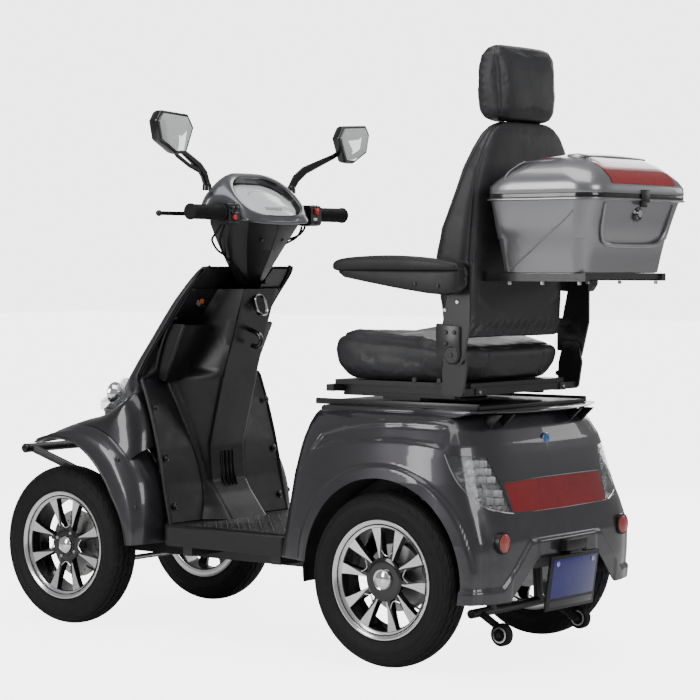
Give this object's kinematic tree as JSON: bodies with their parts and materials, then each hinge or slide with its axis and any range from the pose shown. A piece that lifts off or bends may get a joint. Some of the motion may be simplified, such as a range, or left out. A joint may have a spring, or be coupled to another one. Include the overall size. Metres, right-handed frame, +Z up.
{
  "type": "mobility scooter",
  "caption": "Four-wheel electric mobility scooter with captain's seat, armrests, headrest, leg shield, handlebar with mirrors, and a rear luggage box.",
  "frame": {"origin": "on the ground, under the middle of the overall box of the scooter", "axes": "-Y is the way it drives, +X is the rider's left, +Z is up"},
  "size_m": [0.8444, 1.804, 1.4679],
  "materials": {
    "black_steel": "satin black powder coat",
    "cast_steel": "cast, oiled",
    "bright_steel": "zinc plated",
    "cast_alloy": "sand cast",
    "black_plastic": "satin moulded",
    "gunmetal_paint": "metallic gloss",
    "silver_paint": "metallic gloss",
    "clear_lens": "clear, faceted",
    "display_glass": "clear window over a pale dial",
    "red_lens": "translucent red",
    "plate_blue": "gloss blue in a black frame",
    "battery_case": "moulded",
    "tyre_rubber": "matt",
    "alloy_wheel": "machined faces, black pockets",
    "wheel_plastic": "satin",
    "orange_plastic": "gloss",
    "red_plastic": "gloss",
    "black_rubber": "ribbed",
    "black_leatherette": "grained vinyl",
    "black_urethane": "self-skinned foam"
  },
  "bodies": {
    "chassis": {"chassis_frame": "black_steel", "floor_deck": "black_plastic", "leg_shield": "black_plastic", "front_fairing": "gunmetal_paint", "front_fender_left": "gunmetal_paint", "front_fender_right": "gunmetal_paint", "headlamps": "clear_lens", "storage_bins": "black_plastic", "front_bumper": "black_steel", "rear_body": "gunmetal_paint", "rear_spoiler": "black_plastic", "tail_bar_lens": "red_lens", "tail_lamps": "clear_lens", "reflectors": "red_lens", "number_plate": "plate_blue", "batteries": "battery_case", "motor_controller": "cast_alloy", "rear_springs": "bright_steel"},
    "knuckle_left": {"knuckle_left": "cast_steel"},
    "knuckle_right": {"knuckle_right": "cast_steel"},
    "tie_rod": {"tie_rod": "bright_steel"},
    "front_wheel_left": {"front_tyre_left": "tyre_rubber", "front_wheel_left": "alloy_wheel"},
    "front_wheel_right": {"front_tyre_right": "tyre_rubber", "front_wheel_right": "alloy_wheel"},
    "rear_axle": {"transaxle": "cast_alloy"},
    "rear_wheel_left": {"rear_tyre_left": "tyre_rubber", "rear_wheel_left": "alloy_wheel"},
    "rear_wheel_right": {"rear_tyre_right": "tyre_rubber", "rear_wheel_right": "alloy_wheel"},
    "anti_tip_left": {"anti_tip_wheel_left": "wheel_plastic"},
    "anti_tip_right": {"anti_tip_wheel_right": "wheel_plastic"},
    "power_button": {"power_button": "orange_plastic"},
    "ignition_key": {"ignition_key": "bright_steel"},
    "steering": {"steering_column": "bright_steel", "handlebar": "black_rubber", "head_cover_upper": "silver_paint", "head_cover_lower": "black_plastic", "display": "display_glass", "switch_blocks": "black_plastic", "control_cables": "black_rubber"},
    "throttle": {"throttle_grip": "black_rubber"},
    "brake_lever_left": {"brake_lever_left": "black_plastic"},
    "brake_lever_right": {"brake_lever_right": "black_plastic"},
    "horn_button": {"horn_button": "red_plastic"},
    "mirror_left": {"mirror_left": "black_plastic"},
    "mirror_right": {"mirror_right": "black_plastic"},
    "swivel": {"seat_swivel": "black_steel"},
    "seat": {"seat_pan": "black_steel", "seat_cushion": "black_leatherette"},
    "backrest": {"backrest_frame": "black_steel", "backrest_cushion": "black_leatherette", "luggage_rack": "black_steel", "box_body": "silver_paint"},
    "headrest": {"headrest": "black_leatherette"},
    "armrest_left": {"armrest_left": "black_urethane"},
    "armrest_right": {"armrest_right": "black_urethane"},
    "box_lid": {"box_lid": "silver_paint", "box_lens": "red_lens"},
    "box_lock": {"box_lock": "bright_steel"}
  },
  "joints": [
    {"name": "steering_turn", "type": "hinge", "parent": "chassis", "child": "steering", "pos_m": [0, -0.3, 0.89], "axis": [0, 0.342, 0.9397], "range_deg": [-35, 35]},
    {"name": "knuckle_left_turn", "type": "hinge", "parent": "chassis", "child": "knuckle_left", "pos_m": [0.205, -0.672, 0.208], "axis": [0, 0, 1], "range_deg": [-28, 28]},
    {"name": "knuckle_right_turn", "type": "hinge", "parent": "chassis", "child": "knuckle_right", "pos_m": [-0.205, -0.672, 0.208], "axis": [0, 0, 1], "range_deg": [-28, 28]},
    {"name": "tie_rod_shift", "type": "slide", "parent": "chassis", "child": "tie_rod", "axis": [1, 0, 0], "range_m": [-0.0391, 0.0391]},
    {"name": "front_left_spin", "type": "hinge", "parent": "knuckle_left", "child": "front_wheel_left", "pos_m": [0.277, -0.672, 0.208], "axis": [1, 0, 0], "continuous": true},
    {"name": "front_right_spin", "type": "hinge", "parent": "knuckle_right", "child": "front_wheel_right", "pos_m": [-0.277, -0.672, 0.208], "axis": [1, 0, 0], "continuous": true},
    {"name": "rear_suspension", "type": "slide", "parent": "chassis", "child": "rear_axle", "axis": [0, 0, 1], "range_m": [0, 0.015], "stiffness_N_per_m": 40000, "springref_m": -0.06, "deforming": ["rear_springs"]},
    {"name": "rear_left_spin", "type": "hinge", "parent": "rear_axle", "child": "rear_wheel_left", "pos_m": [0.3155, 0.402, 0.208], "axis": [1, 0, 0], "continuous": true},
    {"name": "rear_right_spin", "type": "hinge", "parent": "rear_axle", "child": "rear_wheel_right", "pos_m": [-0.3155, 0.402, 0.208], "axis": [1, 0, 0], "continuous": true},
    {"name": "anti_tip_left_spin", "type": "hinge", "parent": "chassis", "child": "anti_tip_left", "pos_m": [0.17, 0.621, 0.079], "axis": [1, 0, 0], "continuous": true},
    {"name": "anti_tip_right_spin", "type": "hinge", "parent": "chassis", "child": "anti_tip_right", "pos_m": [-0.17, 0.621, 0.079], "axis": [1, 0, 0], "continuous": true},
    {"name": "power_button_press", "type": "slide", "parent": "chassis", "child": "power_button", "axis": [0, -1, 0], "range_m": [0, 0.003], "stiffness_N_per_m": 300},
    {"name": "key_turn", "type": "hinge", "parent": "chassis", "child": "ignition_key", "pos_m": [0, -0.26, 0.835], "axis": [0, -1, 0], "range_deg": [0, 90]},
    {"name": "throttle_twist", "type": "hinge", "parent": "steering", "child": "throttle", "pos_m": [-0.25, -0.225, 1.075], "axis": [1, 0, 0], "range_deg": [0, 60], "stiffness_Nm_per_rad": 0.35},
    {"name": "brake_left_squeeze", "type": "hinge", "parent": "steering", "child": "brake_lever_left", "pos_m": [0.165, -0.271, 1.075], "axis": [0, 0, 1], "range_deg": [0, 9], "stiffness_Nm_per_rad": 3},
    {"name": "brake_right_squeeze", "type": "hinge", "parent": "steering", "child": "brake_lever_right", "pos_m": [-0.165, -0.271, 1.075], "axis": [0, 0, -1], "range_deg": [0, 9], "stiffness_Nm_per_rad": 3},
    {"name": "horn_press", "type": "slide", "parent": "steering", "child": "horn_button", "axis": [0, -1, 0], "range_m": [0, 0.003], "stiffness_N_per_m": 300},
    {"name": "mirror_left_turn", "type": "hinge", "parent": "steering", "child": "mirror_left", "pos_m": [0.17, -0.29, 1.14], "axis": [0, 0, 1], "range_deg": [-25, 25]},
    {"name": "mirror_right_turn", "type": "hinge", "parent": "steering", "child": "mirror_right", "pos_m": [-0.17, -0.29, 1.14], "axis": [0, 0, 1], "range_deg": [-25, 25]},
    {"name": "seat_swivel_turn", "type": "hinge", "parent": "chassis", "child": "swivel", "pos_m": [0, 0.345, 0.61], "axis": [0, 0, 1], "range_deg": [-90, 90]},
    {"name": "seat_slide", "type": "slide", "parent": "swivel", "child": "seat", "axis": [0, 1, 0], "range_m": [-0.05, 0.05]},
    {"name": "backrest_recline", "type": "hinge", "parent": "seat", "child": "backrest", "pos_m": [0, 0.544, 0.733], "axis": [-1, 0, 0], "range_deg": [-8, 22]},
    {"name": "headrest_lift", "type": "slide", "parent": "backrest", "child": "headrest", "axis": [0, 0, 1], "range_m": [0, 0.05]},
    {"name": "armrest_left_lift", "type": "hinge", "parent": "backrest", "child": "armrest_left", "pos_m": [0.289, 0.565, 0.93], "axis": [-1, 0, 0], "range_deg": [0, 95]},
    {"name": "armrest_right_lift", "type": "hinge", "parent": "backrest", "child": "armrest_right", "pos_m": [-0.289, 0.565, 0.93], "axis": [-1, 0, 0], "range_deg": [0, 95]},
    {"name": "box_lid_open", "type": "hinge", "parent": "backrest", "child": "box_lid", "pos_m": [0, 0.5874, 1.122], "axis": [1, 0, 0], "range_deg": [0, 45]},
    {"name": "box_lock_turn", "type": "hinge", "parent": "backrest", "child": "box_lock", "pos_m": [0, 0.878, 1.06], "axis": [0, -1, 0], "range_deg": [0, 90]}
  ],
  "couplings": [
    {"joint": "knuckle_left_turn", "follows": "steering_turn", "ratio": 0.8},
    {"joint": "knuckle_right_turn", "follows": "steering_turn", "ratio": 0.8},
    {"joint": "tie_rod_shift", "follows": "steering_turn", "m_per_rad": -0.064}
  ]
}
